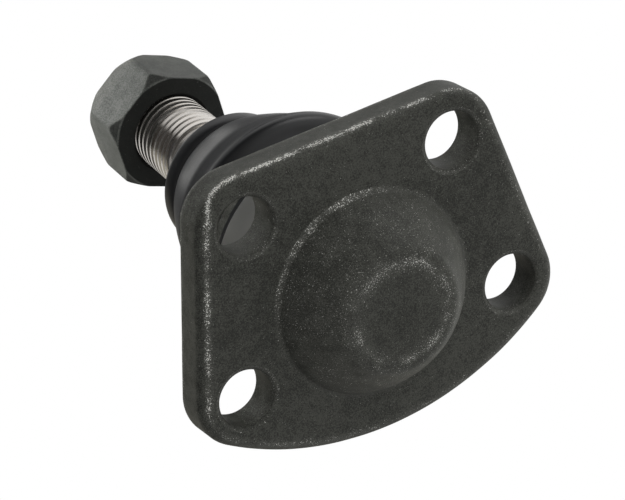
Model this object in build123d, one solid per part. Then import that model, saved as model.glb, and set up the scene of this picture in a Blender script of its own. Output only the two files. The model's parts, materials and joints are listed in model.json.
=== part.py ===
from build123d import *
from math import atan2, cos, degrees, hypot, radians, sin, sqrt, tan
import os

# Four-bolt suspension ball joint, millimetres.
# Origin: centre of the ball. +Z: out of the flange, through the dome. +Y: towards the narrow edge.
# The stud leaves the socket downwards and leans a little, as it lies when nothing holds it.

# ---------------------------------------------------------------- driving dimensions
# Flange of the forged housing
bolt_hole_dia = 8.4            # M8 clearance
narrow_bolt_span = 33.0        # hole centres along X at the straight edge
narrow_bolt_y = 17.0
wide_bolt_span = 43.4          # hole centres along X at the curved edge
wide_bolt_y = -7.5
edge_margin = 7.25             # from a hole centre to the edge
chin_drop = 21.4               # from the ball axis down to the lowest point of the curved edge
flange_thickness = 5.7
face_height = 10.1             # flange face above the ball centre
face_edge_round = 1.5
back_edge_round = 0.4
hole_face_chamfer = 0.6        # wider than it is deep
hole_face_chamfer_depth = 0.4
hole_back_chamfer = 0.2

# Dome over the socket
dome_height = 8.1
dome_base_dia = 29.8
dome_top_dia = 15.8
dome_bulge = 0.45              # how far the flank stands out from a straight cone
dome_root_round = 0.8
dome_shoulder_round = 2.0

# Neck round the socket, on the stud side
neck_wall = 2.4
lip_thickness = 1.0
lip_overhang = 1.5             # how far the rolled lip reaches in over the closing ring

# Ball, bearing shells and the parts that hold them in
ball_dia = 22.0
bearing_clearance = 0.05
bearing_wall = 2.15
cup_gap = 0.6                  # between the upper cup and the lower ring
cup_top_inset = 4.5            # from the bore in to the cup's flat top
cup_crown_wall = 1.45          # plastic over the top of the ball
cup_cone_height = 6.5          # from the cup's flat top down to where it meets the bore
mouth_drop = 5.7               # socket mouth below the ball centre
mouth_flare = 1.25
mouth_land = 1.5               # flared part of the lower ring under the mouth
closing_ring_thickness = 1.4
closing_ring_width = 2.35
closing_ring_round = 0.3
seat_gap = 0.04                # play between parts that sit against each other

# Disc spring over the cup
spring_outer_dia = 15.6
spring_bore = 6.4
spring_thickness = 0.8
spring_height = 1.3

# Stud
ball_flat_dia = 8.0
neck_dia = 10.5
neck_straight_end = 14.5       # distances along the stud, from the ball centre
neck_blend_round = 3.0
neck_root_round = 0.6
taper_start = 21.0
taper_end = 39.6
taper_dia = 14.0               # at the thick end
taper_ratio = 0.1              # 1:10 on the diameter
thread_dia = 12.0
thread_pitch = 1.25
stud_length = 61.4
stud_end_chamfer = 1.1
runout_width = 0.5
thread_depth_share = 0.6134    # of the pitch, on an outside thread
thread_crest_share = 0.125     # flat left on the crest, of the pitch
thread_flank_angle = 30.0      # from square to the axis, each side
thread_root_sink = 0.1         # how far the ridge reaches into the core
lean_about_x = 6.26            # rest lean, degrees: towards +Y
lean_about_y = -1.17           # then towards +X

# Nut
nut_across_flats = 18.0
nut_height = 9.8
nut_face_distance = 50.94      # bearing face from the ball centre
nut_face_dia = 18.4             # circle that the corner chamfers leave on each end
nut_chamfer_angle = 60.0        # from the end faces
nut_corner_turn = 22.5         # degrees from the -X side back to the first corner
nut_collar_dia = 15.0
nut_collar_height = 1.0
nut_collar_lip = 0.35
nut_lead_in = 0.5
insert_wall = 1.0
insert_thickness = 2.6
thread_clearance = 0.03

# Rubber boot
boot_wall = 1.6
boot_collar_gap = 0.1          # boot collar to the back of the flange
boot_groove_depth = 0.8
boot_groove_width = 2.2
boot_groove_drop = 0.9         # from the back of the flange to the groove
boot_shoulder_drop = 7.6       # where the collar starts to close in, below the ball centre
boot_split_low = 20.6          # radii about the ball centre where the bands part
boot_split_high = 26.0
boot_split_gap = 0.3
base_clamp_wire = 1.1
stud_clamp_wire = 0.9
wire_bed = 0.4                 # share of the wire that sinks into the rubber

# ---------------------------------------------------------------- derived dimensions
ball_r = ball_dia / 2
socket_r = ball_r + bearing_clearance
bore_r = socket_r + bearing_wall
neck_r = bore_r + neck_wall
back_height = face_height - flange_thickness
cup_crown_height = socket_r + cup_crown_wall
cup_shoulder_height = cup_crown_height - cup_cone_height
cup_top_r = bore_r - cup_top_inset
ring_bottom = mouth_drop + mouth_land
closing_seat = ring_bottom + seat_gap
closing_ring_r = bore_r + lip_overhang / 2
closing_bore_r = closing_ring_r - closing_ring_width
lip_top = closing_seat + closing_ring_thickness + seat_gap
neck_end = lip_top + lip_thickness
thread_depth = thread_pitch * thread_depth_share
thread_core_r = thread_dia / 2 - thread_depth
nut_thread_r = thread_dia / 2 + thread_clearance
insert_r = nut_thread_r + insert_wall
lean = Location((0, 0, 0), (lean_about_x, lean_about_y, 0))


def taper_radius(distance):
    """Radius of the stud's tapered seat at a distance from the ball centre."""
    return taper_dia / 2 - (distance - taper_start) * taper_ratio / 2


def revolve_about_z(points):
    """Turn a closed outline of (radius, height) points round Z."""
    outline = Polyline(*[(r, 0, z) for r, z in points], close=True)
    return revolve(make_face(outline), axis=Axis.Z)


def ring_edges(shape, radius, height):
    """Circular edges round Z with this radius and height."""
    return [
        e
        for e in shape.edges().filter_by(GeomType.CIRCLE)
        if abs(e.radius - radius) < 0.01
        and abs(e.arc_center.Z - height) < 0.01
        and hypot(e.arc_center.X, e.arc_center.Y) < 0.01
    ]


def wire_ring(radius, height, wire):
    """A round wire bent into a closed ring about Z."""
    return Pos(0, 0, height) * Torus(radius, wire / 2)


# ---------------------------------------------------------------- housing
def hole_places():
    """Centres of the four bolt holes."""
    narrow_x = narrow_bolt_span / 2
    wide_x = wide_bolt_span / 2
    return [
        (-narrow_x, narrow_bolt_y),
        (narrow_x, narrow_bolt_y),
        (-wide_x, wide_bolt_y),
        (wide_x, wide_bolt_y),
    ]


def flange_outline():
    """Straight narrow edge, two splayed sides and one shallow curved edge, all tangent."""
    narrow_x = narrow_bolt_span / 2
    wide_x = wide_bolt_span / 2
    m = edge_margin
    # Sides: tangent to the circles round the holes.
    splay = degrees(atan2(wide_x - narrow_x, narrow_bolt_y - wide_bolt_y))
    # Curved edge: one arc that touches both lower circles from outside.
    inner = m - chin_drop
    arc_y = (inner**2 - wide_bolt_y**2 - wide_x**2) / (2 * (inner - wide_bolt_y))
    arc_r = arc_y + chin_drop
    reach = degrees(atan2(wide_x, arc_y - wide_bolt_y))

    def on_circle(x, y, radius, angle):
        return (x + radius * cos(radians(angle)), y + radius * sin(radians(angle)))

    edges = Curve()
    edges += Line((-narrow_x, narrow_bolt_y + m), (narrow_x, narrow_bolt_y + m))
    edges += CenterArc((narrow_x, narrow_bolt_y), m, splay, 90 - splay)
    edges += Line(
        on_circle(narrow_x, narrow_bolt_y, m, splay),
        on_circle(wide_x, wide_bolt_y, m, splay),
    )
    edges += CenterArc((wide_x, wide_bolt_y), m, reach - 90, 90 - reach + splay)
    edges += CenterArc((0, arc_y), arc_r, -90 - reach, 2 * reach)
    edges += CenterArc((-wide_x, wide_bolt_y), m, 180 - splay, 90 - reach + splay)
    edges += Line(
        on_circle(-wide_x, wide_bolt_y, m, 180 - splay),
        on_circle(-narrow_x, narrow_bolt_y, m, 180 - splay),
    )
    edges += CenterArc((-narrow_x, narrow_bolt_y), m, 90, 90 - splay)
    return make_face(edges)


def flange():
    plate = extrude(Pos(0, 0, back_height) * flange_outline(), flange_thickness)
    face_edges = plate.faces().sort_by(Axis.Z)[-1].edges()
    plate = fillet(face_edges, face_edge_round)
    back_edges = plate.faces().sort_by(Axis.Z)[0].edges()
    return fillet(back_edges, back_edge_round)


def dome():
    """Forged dome: a slightly convex cone with a flat top and a rounded shoulder."""
    base_r = dome_base_dia / 2
    top_r = dome_top_dia / 2
    top = face_height + dome_height
    # The flank aims past the flat so that the shoulder round ends at the flat's edge.
    slope = atan2(dome_height, base_r - top_r)
    corner_r = top_r + dome_shoulder_round * tan(slope / 2)
    flank = hypot(base_r - corner_r, dome_height)
    bulge_r = (base_r + corner_r) / 2 + dome_bulge * dome_height / flank
    bulge_z = face_height + dome_height / 2 + dome_bulge * (base_r - corner_r) / flank
    edges = Curve()
    edges += Line((0, 0, back_height), (base_r, 0, back_height))
    edges += Line((base_r, 0, back_height), (base_r, 0, face_height))
    edges += ThreePointArc((base_r, 0, face_height), (bulge_r, 0, bulge_z), (corner_r, 0, top))
    edges += Line((corner_r, 0, top), (0, 0, top))
    edges += Line((0, 0, top), (0, 0, back_height))
    body = revolve(make_face(edges), axis=Axis.Z)
    return fillet(ring_edges(body, corner_r, top), dome_shoulder_round)


def neck():
    """Tube on the stud side, with the groove that the boot's bead sits in."""
    tube = Pos(0, 0, -neck_end) * extrude(Circle(neck_r), neck_end + back_height)
    groove_top = back_height - boot_groove_drop
    groove = extrude(Circle(neck_r + 1) - Circle(neck_r - boot_groove_depth), boot_groove_width)
    return tube - Pos(0, 0, groove_top - boot_groove_width) * groove


def cavity():
    """Socket bore from the stud side: lip, closing ring seat, bore, cone and spring room."""
    cone_top_r = cup_top_r + seat_gap
    spring_room = cup_crown_height + spring_height + 2 * seat_gap
    bore = bore_r + seat_gap
    return revolve_about_z(
        [
            (0, -neck_end - 1),
            (closing_ring_r - lip_overhang, -neck_end - 1),
            (closing_ring_r - lip_overhang, -lip_top),
            (closing_ring_r + seat_gap, -lip_top),
            (closing_ring_r + seat_gap, -closing_seat + seat_gap),
            (bore, -closing_seat + seat_gap),
            (bore, cup_shoulder_height),
            (cone_top_r, cup_crown_height),
            (spring_outer_dia / 2 + 2 * seat_gap, cup_crown_height),
            (spring_outer_dia / 2 + 2 * seat_gap, spring_room),
            (0, spring_room),
        ]
    )


def bolt_hole(x, y):
    """Through hole with a broken edge at both faces."""
    r = bolt_hole_dia / 2
    flare = hole_face_chamfer / hole_face_chamfer_depth
    profile = revolve_about_z(
        [
            (0, back_height - 1),
            (r + hole_back_chamfer + 1, back_height - 1),
            (r, back_height + hole_back_chamfer),
            (r, face_height - hole_face_chamfer_depth),
            (r + hole_face_chamfer + flare, face_height + 1),
            (0, face_height + 1),
        ]
    )
    return Pos(x, y, 0) * profile


def make_housing():
    body = flange() + dome()
    body = fillet(ring_edges(body, dome_base_dia / 2, face_height), dome_root_round)
    body += neck()
    body -= cavity()
    for x, y in hole_places():
        body -= bolt_hole(x, y)
    return body


# ---------------------------------------------------------------- socket parts
def make_upper_bearing_cup():
    """Plastic shell over the top of the ball."""
    body = revolve_about_z(
        [
            (0, cup_gap / 2),
            (bore_r, cup_gap / 2),
            (bore_r, cup_shoulder_height - seat_gap),
            (cup_top_r, cup_crown_height - seat_gap),
            (0, cup_crown_height - seat_gap),
        ]
    )
    return body - Sphere(socket_r)


def make_lower_bearing_ring():
    """Plastic ring under the ball's widest part, with a flared mouth for the stud."""
    mouth_r = sqrt(socket_r**2 - mouth_drop**2)
    body = revolve_about_z(
        [
            (mouth_r, -mouth_drop),
            (mouth_r + mouth_flare, -ring_bottom),
            (bore_r, -ring_bottom),
            (bore_r, -cup_gap / 2),
            (mouth_r, -cup_gap / 2),
        ]
    )
    return body - Sphere(socket_r)


def make_closing_ring():
    """Steel ring that the housing's lip is rolled over."""
    ring = Circle(closing_ring_r) - Circle(closing_bore_r)
    body = extrude(Pos(0, 0, -lip_top + seat_gap) * ring, closing_ring_thickness)
    return fillet(ring_edges(body, closing_bore_r, -lip_top + seat_gap), closing_ring_round)


def make_preload_spring():
    """Disc spring that presses the cup on the ball."""
    z = cup_crown_height + seat_gap
    rise = spring_height - spring_thickness
    outer = spring_outer_dia / 2
    inner = spring_bore / 2
    return revolve_about_z(
        [
            (inner, z + rise),
            (outer, z),
            (outer, z + spring_thickness),
            (inner, z + spring_height),
        ]
    )


# ---------------------------------------------------------------- stud and nut, drawn hanging straight down
def thread_ridge():
    """Right-hand helical ridge, trimmed to the runout and to the chamfered end."""
    crest_r = thread_dia / 2
    start = -stud_length - thread_pitch
    end = -taper_end - runout_width - thread_pitch / 2
    path = Helix(thread_pitch, end - start, crest_r, center=(0, 0, start))
    crest = thread_pitch * thread_crest_share
    reach = thread_depth + thread_root_sink
    base = crest + 2 * reach * tan(radians(thread_flank_angle))
    tooth = Polyline((-reach, -base / 2), (0, -crest / 2), (0, crest / 2), (-reach, base / 2), close=True)
    section = Plane(origin=path @ 0, z_dir=path % 0, x_dir=(1, 0, 0)) * make_face(tooth)
    ridge = sweep(section, path=path, is_frenet=True)
    over = 0.2
    runout_end = -taper_end - runout_width
    envelope = revolve_about_z(
        [
            (0, runout_end),
            (thread_core_r, runout_end),
            (crest_r + over, runout_end - thread_depth - over),
            (crest_r + over, -stud_length + stud_end_chamfer + over),
            (crest_r - stud_end_chamfer, -stud_length),
            (0, -stud_length),
        ]
    )
    return ridge & envelope


def make_ball_stud():
    """Ball, waisted neck, tapered seat and threaded end in one forging."""
    neck = neck_dia / 2
    thread = thread_dia / 2
    taper_small = taper_radius(taper_end)
    join = sqrt(ball_r**2 - neck**2)
    shank = revolve_about_z(
        [
            (0, 0),
            (neck, 0),
            (neck, -neck_straight_end),
            (taper_radius(taper_start), -taper_start),
            (taper_small, -taper_end),
            (thread_core_r, -taper_end - runout_width / 2),
            (thread_core_r, -stud_length + stud_end_chamfer - thread_depth),
            (thread - stud_end_chamfer, -stud_length),
            (0, -stud_length),
        ]
    )
    corners = ring_edges(shank, neck, -neck_straight_end)
    corners += ring_edges(shank, taper_radius(taper_start), -taper_start)
    shank = fillet(corners, neck_blend_round)
    flat_height = sqrt(ball_r**2 - (ball_flat_dia / 2) ** 2)
    ball = Sphere(ball_r) - Pos(0, 0, flat_height + ball_r) * Box(ball_dia, ball_dia, ball_dia)
    body = ball + shank
    body = fillet(ring_edges(body, neck, -join), neck_root_round)
    return lean * (body + thread_ridge())


def make_hex_nut():
    """Hexagon with both ends chamfered, and a low collar rolled over the locking insert."""
    corner_r = nut_across_flats / sqrt(3)
    far = nut_face_distance + nut_height
    turned = Rot(0, 0, 180 - nut_corner_turn)
    prism = Pos(0, 0, -far) * turned * extrude(RegularPolygon(corner_r, 6), nut_height)
    flat_r = nut_face_dia / 2
    drop = (corner_r - flat_r) * tan(radians(nut_chamfer_angle))
    chamfers = revolve_about_z(
        [
            (0, -nut_face_distance),
            (flat_r, -nut_face_distance),
            (corner_r, -nut_face_distance - drop),
            (corner_r, -far + drop),
            (flat_r, -far),
            (0, -far),
        ]
    )
    body = prism & chamfers
    collar_end = far + nut_collar_height
    collar = Pos(0, 0, -collar_end) * extrude(Circle(nut_collar_dia / 2), nut_collar_height + 1)
    collar = chamfer(ring_edges(collar, nut_collar_dia / 2, -collar_end), nut_collar_lip)
    body += collar
    insert_top = collar_end - nut_collar_lip - insert_thickness
    bore = revolve_about_z(
        [
            (0, -nut_face_distance),
            (nut_thread_r + nut_lead_in, -nut_face_distance),
            (nut_thread_r, -nut_face_distance - nut_lead_in),
            (nut_thread_r, -insert_top + seat_gap),
            (insert_r + seat_gap, -insert_top + seat_gap),
            (insert_r + seat_gap, -collar_end + nut_collar_lip - seat_gap),
            (insert_r - nut_collar_lip, -collar_end),
            (0, -collar_end),
        ]
    )
    return lean * (body - bore)


def make_nut_insert():
    """Nylon locking ring held in the nut's collar."""
    collar_end = nut_face_distance + nut_height + nut_collar_height
    low = collar_end - nut_collar_lip
    ring = Circle(insert_r) - Circle(nut_thread_r)
    return lean * Pos(0, 0, -low) * extrude(ring, insert_thickness)


# ---------------------------------------------------------------- boot
collar_r = neck_r + seat_gap + boot_wall
base_clamp_height = back_height - boot_groove_drop - boot_groove_width / 2
base_wire_r = collar_r + base_clamp_wire * (0.5 - wire_bed)

# Outside of the folds about the stud's own axis: (radius, distance from the ball centre).
fold_points = [
    (15.2, 12.6),
    (15.3, 14.2),
    (16.9, 17.6),
    (15.0, 20.6),
    (14.0, 22.4),
    (13.4, 24.8),
    (12.2, 27.4),
    (11.0, 28.8),
]
lip_dia = 21.4
lip_start = 30.2
lip_end = 33.4
lip_round = 0.8
seal_width = 3.9               # how far the lip hugs the stud, back from its end
clamp_groove_dia = 20.2
clamp_groove_width = 1.0
clamp_distance = 29.5
stud_wire_r = clamp_groove_dia / 2 + stud_clamp_wire * (0.5 - wire_bed) - boot_collar_gap


def fold_shell():
    """Both folds as one shell of even wall, from the base to the lip."""
    outside = Spline(*[(r, 0, -d) for r, d in fold_points])
    inside = Spline(*[(r - boot_wall, 0, -d) for r, d in fold_points])
    edges = Curve() + outside + inside
    edges += Line(outside @ 0, inside @ 0)
    edges += Line(outside @ 1, inside @ 1)
    return revolve(make_face(edges), axis=Axis.Z)


def make_boot_base():
    """Collar on the housing's neck with its bead, down to the first fold."""
    bead_r = neck_r - boot_groove_depth + seat_gap
    groove_top = back_height - boot_groove_drop - seat_gap
    groove_low = back_height - boot_groove_drop - boot_groove_width + seat_gap
    top = back_height - boot_collar_gap
    inner = neck_r + seat_gap
    fold_r = fold_points[1][0]
    fold_z = -fold_points[1][1]
    shoulder = -boot_shoulder_drop
    body = revolve_about_z(
        [
            (inner, top),
            (collar_r, top),
            (collar_r, shoulder),
            (fold_r, fold_z + boot_wall / 2),
            (fold_r, fold_z - boot_wall),
            (fold_r - boot_wall, fold_z - boot_wall),
            (fold_r - boot_wall, fold_z + boot_wall / 2),
            (inner - boot_wall / 2, -neck_end - seat_gap),
            (inner, -neck_end - seat_gap),
            (inner, groove_low),
            (bead_r, groove_low),
            (bead_r, groove_top),
            (inner, groove_top),
        ]
    )
    bed = wire_ring(base_wire_r, base_clamp_height, base_clamp_wire + 2 * seat_gap)
    return (body - bed) & Sphere(boot_split_low)


def make_boot_waist():
    """The large fold, which leans half of the stud's way."""
    shell = fold_shell() - Sphere(boot_split_low + boot_split_gap)
    return lean * (shell & Sphere(boot_split_high))


def make_boot_lip():
    """The small fold and the thick lip that seals on the stud's taper."""
    seal_start = lip_end - seal_width
    seal_r = taper_radius(seal_start) + seat_gap
    lip_r = lip_dia / 2
    groove_r = clamp_groove_dia / 2
    fold_r, fold_d = fold_points[-1]
    lip = revolve_about_z(
        [
            (fold_r - boot_wall, -fold_d + boot_wall / 4),
            (fold_r, -fold_d),
            (groove_r, -clamp_distance + clamp_groove_width / 2),
            (groove_r, -clamp_distance - clamp_groove_width / 2),
            (lip_r, -lip_start),
            (lip_r, -lip_end + lip_round),
            (lip_r - lip_round, -lip_end),
            (seal_r, -lip_end + lip_round / 4),
            (seal_r, -seal_start),
        ]
    )
    body = fold_shell() + lip
    body -= wire_ring(stud_wire_r, -clamp_distance, stud_clamp_wire + 2 * seat_gap)
    return lean * (body - Sphere(boot_split_high + boot_split_gap))


def make_boot_base_clamp():
    return wire_ring(base_wire_r, base_clamp_height, base_clamp_wire)


def make_boot_stud_clamp():
    return lean * wire_ring(stud_wire_r, -clamp_distance, stud_clamp_wire)


# ---------------------------------------------------------------- nodes
nodes = {
    "housing": make_housing,
    "upper_bearing_cup": make_upper_bearing_cup,
    "lower_bearing_ring": make_lower_bearing_ring,
    "closing_ring": make_closing_ring,
    "preload_spring": make_preload_spring,
    "ball_stud": make_ball_stud,
    "hex_nut": make_hex_nut,
    "nut_insert": make_nut_insert,
    "boot_base": make_boot_base,
    "boot_waist": make_boot_waist,
    "boot_lip": make_boot_lip,
    "boot_base_clamp": make_boot_base_clamp,
    "boot_stud_clamp": make_boot_stud_clamp,
}

os.makedirs("parts", exist_ok=True)
for name, make in nodes.items():
    export_step(make(), f"parts/{name}.step")
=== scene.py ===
"""Looks of the four-bolt suspension ball joint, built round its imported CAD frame.

Everything is in metres, in the frame of the CAD model: the ball's centre is the origin, +Z leaves the flange
through the dome, and the stud hangs below with a small lean. Sizes below are written in millimetres and
turned into metres by MM; the lines of the boot alone stay in millimetres until boot_ring.
"""

import json
import math
import random

import bmesh
import bpy
from mathutils import Matrix, Vector, geometry, noise


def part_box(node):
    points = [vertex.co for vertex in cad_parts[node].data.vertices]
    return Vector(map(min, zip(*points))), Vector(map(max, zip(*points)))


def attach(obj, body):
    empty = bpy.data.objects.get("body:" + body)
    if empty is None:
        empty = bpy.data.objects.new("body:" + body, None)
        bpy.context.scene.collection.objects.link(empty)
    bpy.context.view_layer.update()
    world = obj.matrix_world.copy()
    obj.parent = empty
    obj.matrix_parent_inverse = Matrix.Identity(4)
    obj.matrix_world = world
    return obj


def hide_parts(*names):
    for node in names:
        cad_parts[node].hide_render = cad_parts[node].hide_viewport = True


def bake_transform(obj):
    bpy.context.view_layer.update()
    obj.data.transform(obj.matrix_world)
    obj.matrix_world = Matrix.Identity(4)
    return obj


MM = 0.001

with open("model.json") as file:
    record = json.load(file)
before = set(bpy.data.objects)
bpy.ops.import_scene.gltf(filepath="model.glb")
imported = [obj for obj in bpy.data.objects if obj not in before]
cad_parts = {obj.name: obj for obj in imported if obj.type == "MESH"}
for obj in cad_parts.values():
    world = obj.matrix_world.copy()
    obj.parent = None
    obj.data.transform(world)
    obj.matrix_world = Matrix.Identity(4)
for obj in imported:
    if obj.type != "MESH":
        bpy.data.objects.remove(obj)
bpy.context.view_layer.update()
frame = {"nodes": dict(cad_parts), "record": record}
mounts = {m["name"]: m for m in frame["record"]["mounts"]}

# ---------------------------------------------------------------- sizes read from the frame
HOUSING_LOW, HOUSING_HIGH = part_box("housing")
NARROW = mounts["narrow_bolt_pair"]
WIDE = mounts["wide_bolt_pair"]
HOLE_R = NARROW["dims"]["hole_r_mm"] * MM
NARROW_X = NARROW["dims"]["spacing_x_mm"] * MM / 2
WIDE_X = WIDE["dims"]["spacing_x_mm"] * MM / 2
NARROW_Y = NARROW["pos_m"][1]
WIDE_Y = WIDE["pos_m"][1]
EDGE_MARGIN = HOUSING_HIGH.x - WIDE_X
CHIN_Y = HOUSING_LOW.y
FACE_Z = mounts["flange_face"]["pos_m"][2]
DOME_TOP_Z = HOUSING_HIGH.z
NECK_END_Z = HOUSING_LOW.z
STUD_AXIS = Vector(mounts["stud_thread"]["axis"]).normalized()

# ---------------------------------------------------------------- sizes repeated from the CAD model
FLANGE_THICKNESS = 5.7 * MM
FACE_EDGE_ROUND = 1.5 * MM
BACK_EDGE_ROUND = 0.4 * MM
HOLE_FACE_CHAMFER = 0.6 * MM
HOLE_FACE_CHAMFER_DEPTH = 0.4 * MM
HOLE_BACK_CHAMFER = 0.2 * MM
DOME_BASE_R = 14.9 * MM
DOME_TOP_R = 7.9 * MM
DOME_BULGE = 0.45 * MM
DOME_ROOT_ROUND = 0.8 * MM
DOME_SHOULDER_ROUND = 2.0 * MM
NECK_R = 15.6 * MM
NECK_ROOT_FLARE = 1.6 * MM
LIP_BORE_R = 12.45 * MM
LIP_THICKNESS = 1.0 * MM
SOCKET_DEPTH = 16.0 * MM
BACK_Z = FACE_Z - FLANGE_THICKNESS

BALL_R = 11.0 * MM
BALL_FLAT_R = 4.0 * MM
STUD_NECK_R = 5.25 * MM
NECK_STRAIGHT_END = 14.5 * MM
TAPER_START = 21.0 * MM
TAPER_END = 39.6 * MM
TAPER_START_R = 7.0 * MM
TAPER_SLOPE = 0.05
THREAD_R = 6.0 * MM
THREAD_PITCH = 1.25 * MM
THREAD_DEPTH = 0.4 * THREAD_PITCH
# Shares of a pitch, from the middle of the crest, at which the flank starts and ends.
THREAD_CREST = 0.3
THREAD_ROOT = 0.47
RUNOUT = 0.5 * MM
STUD_LENGTH = 61.4 * MM
STUD_END_CHAMFER = 1.1 * MM

NUT_FACE = 50.94 * MM
NUT_HEIGHT = 9.8 * MM
NUT_FLATS = 18.0 * MM
NUT_FACE_R = 9.2 * MM
NUT_CHAMFER_SLOPE = math.tan(math.radians(60))
NUT_CORNER_ROUND = 0.3 * MM
NUT_EDGE_ROUND = 0.15 * MM
NUT_CONE_BLEND = 0.12 * MM
# Angle of one of the nut's corners from +X.
NUT_CORNER_TURN = math.radians(180 - 22.5)
NUT_COLLAR_R = 7.5 * MM
NUT_COLLAR_HEIGHT = 1.0 * MM
NUT_COLLAR_LIP = 0.35 * MM
NUT_BORE_R = 6.03 * MM
NUT_RECESS_R = 7.07 * MM
NUT_RECESS_DEPTH = 2.0 * MM
NUT_LEAD_IN = 0.5 * MM

# ---------------------------------------------------------------- fineness of the meshes
RING_STEPS = 192
HOLE_STEPS = 64
FLANK_STEPS = 28
ROUND_STEPS = 9
ROUND_GAP = 0.2 * MM
STUD_STEPS = 128
BALL_STEPS = 40
NUT_STEPS = 360
NUT_CHAMFER_STEPS = 14
NUT_SIDE_STEPS = 8
SHARP_ANGLE = math.radians(38)
NUT_SHARP_ANGLE = math.radians(22)
SAME_POINT = 0.0005 * MM
FILL_SPACING = 1.3 * MM
FILL_SEED = 4
# Shares of the spacing: how far a grid point is shaken, and how far it stays from the rings.
FILL_SHAKE = 0.2
FILL_GAP = 0.6


def smooth(low, high, value):
    """0 below low, 1 above high, with a soft passage between."""
    t = max(0.0, min(1.0, (value - low) / (high - low)))
    return t * t * (3 - 2 * t)


# ---------------------------------------------------------------- mesh building
class Skin:
    """Collects rings of points, each with a wear value, and the faces between them, into a mesh."""

    def __init__(self):
        self.points = []
        self.wear = []
        self.faces = []

    def ring(self, points, wear=0.0):
        """Adds points with one wear value, or a list of them, and returns their numbers."""
        first = len(self.points)
        self.points += [Vector(p) for p in points]
        self.wear += wear if isinstance(wear, list) else [wear] * (len(self.points) - first)
        return list(range(first, len(self.points)))

    def strip(self, a, b):
        """Faces between two closed rings."""
        count = len(a)
        for i in range(count):
            j = (i + 1) % count
            self.faces.append((a[i], a[j], b[j], b[i]))

    def skin(self, rings):
        """Faces between each ring and the next."""
        for a, b in zip(rings, rings[1:]):
            self.strip(a, b)

    def fan(self, ring, centre):
        """Faces that close a ring round its middle."""
        tip = self.ring([centre])[0]
        count = len(ring)
        for i in range(count):
            self.faces.append((ring[i], ring[(i + 1) % count], tip))

    def fill(self, outer, holes, spacing, inside):
        """Triangles between a flat outer ring and its holes, with a loose grid of points inside.

        The test inside(point, gap) says whether a point belongs there and keeps the gap from all rings.
        """
        z = self.points[outer[0]].z
        flat, edges, index = [], [], []
        for loop in [outer] + holes:
            start = len(flat)
            flat += [self.points[i].to_2d() for i in loop]
            index += loop
            count = len(loop)
            edges += [(start + i, start + (i + 1) % count) for i in range(count)]
        low = Vector((min(p.x for p in flat), min(p.y for p in flat)))
        high = Vector((max(p.x for p in flat), max(p.y for p in flat)))
        dice = random.Random(FILL_SEED)

        def shaken(value):
            return value + dice.uniform(-FILL_SHAKE, FILL_SHAKE) * spacing

        y = low.y
        while y < high.y:
            x = low.x
            while x < high.x:
                p = Vector((shaken(x), shaken(y)))
                if inside(p, spacing * FILL_GAP):
                    flat.append(p)
                    index.append(self.ring([(p.x, p.y, z)])[0])
                x += spacing
            y += spacing
        places, _, triangles, sources, *_ = geometry.delaunay_2d_cdt(flat, edges, [], 0, 1e-9)
        for face in triangles:
            centre = sum((places[i] for i in face), Vector((0, 0))) / len(face)
            if inside(centre, 0.0):
                self.faces.append([index[sources[i][0]] for i in face])

    def build(self, name, material, place=None, sharp=SHARP_ANGLE):
        """The finished piece: smooth faces, sharp edges and the wear as a point attribute."""
        mesh = bpy.data.meshes.new(name)
        points = self.points if place is None else [place @ p for p in self.points]
        mesh.from_pydata(points, [], self.faces)
        attribute = mesh.attributes.new("wear", "FLOAT", "POINT")
        attribute.data.foreach_set("value", self.wear)
        mesh.polygons.foreach_set("use_smooth", [True] * len(mesh.polygons))
        mesh.validate()
        consistent_normals(mesh)
        mesh.set_sharp_from_angle(angle=sharp)
        piece = bpy.data.objects.new(name, mesh)
        bpy.context.scene.collection.objects.link(piece)
        mesh.materials.append(material)
        return piece


def consistent_normals(mesh):
    """Joins points that coincide and turns all faces of a closed mesh outwards."""
    work = bmesh.new()
    work.from_mesh(mesh)
    bmesh.ops.remove_doubles(work, verts=work.verts, dist=SAME_POINT)
    bmesh.ops.recalc_face_normals(work, faces=work.faces)
    work.to_mesh(mesh)
    work.free()


def circle(radius, z, steps=RING_STEPS, centre=(0.0, 0.0)):
    """Points of a level circle, counterclockwise from +X."""
    turns = [2 * math.pi * i / steps for i in range(steps)]
    x, y = centre
    return [(x + radius * math.cos(a), y + radius * math.sin(a), z) for a in turns]


def round_corner(a, corner, b, radius, steps=6):
    """Points of an arc of this radius between the lines corner-a and corner-b."""
    a, corner, b = Vector(a), Vector(corner), Vector(b)
    u, v = (a - corner).normalized(), (b - corner).normalized()
    half = u.angle(v) / 2
    reach = radius / math.tan(half)
    centre = corner + (u + v).normalized() * (radius / math.sin(half))
    start = (corner + u * reach) - centre
    end = (corner + v * reach) - centre
    turn = start.angle_signed(end)
    spin = [turn * i / steps for i in range(steps + 1)]
    return [centre + Matrix.Rotation(-t, 2) @ start for t in spin]


def lathe_profile(corners):
    """(radius, z) points, each with a corner round, as one list of (radius, z)."""
    points = []
    for i, (r, z, rounding) in enumerate(corners):
        if rounding > 0:
            before, after = corners[i - 1][:2], corners[i + 1][:2]
            points += [tuple(p) for p in round_corner(before, (r, z), after, rounding)]
        else:
            points.append((r, z))
    return points


def stud_place():
    """Turns a shape drawn straight down, along -Z, into the stud's lean."""
    turn = Vector((0, 0, -1)).rotation_difference(STUD_AXIS)
    return turn.to_matrix().to_4x4()


# ---------------------------------------------------------------- housing
HOLES = [(-NARROW_X, NARROW_Y), (NARROW_X, NARROW_Y), (-WIDE_X, WIDE_Y), (WIDE_X, WIDE_Y)]
# Steps of the outline: its curved edge, the two kinds of corner, the slanting sides and the straight edge.
CHIN_STEPS, WIDE_STEPS, NARROW_STEPS, SIDE_STEPS, TOP_STEPS = 70, 26, 24, 34, 46
# Steps of the flange's edge: the round on the face, the wall and the round on the back.
EDGE_STEPS, WALL_STEPS, BACK_STEPS = 12, 6, 4
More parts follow.
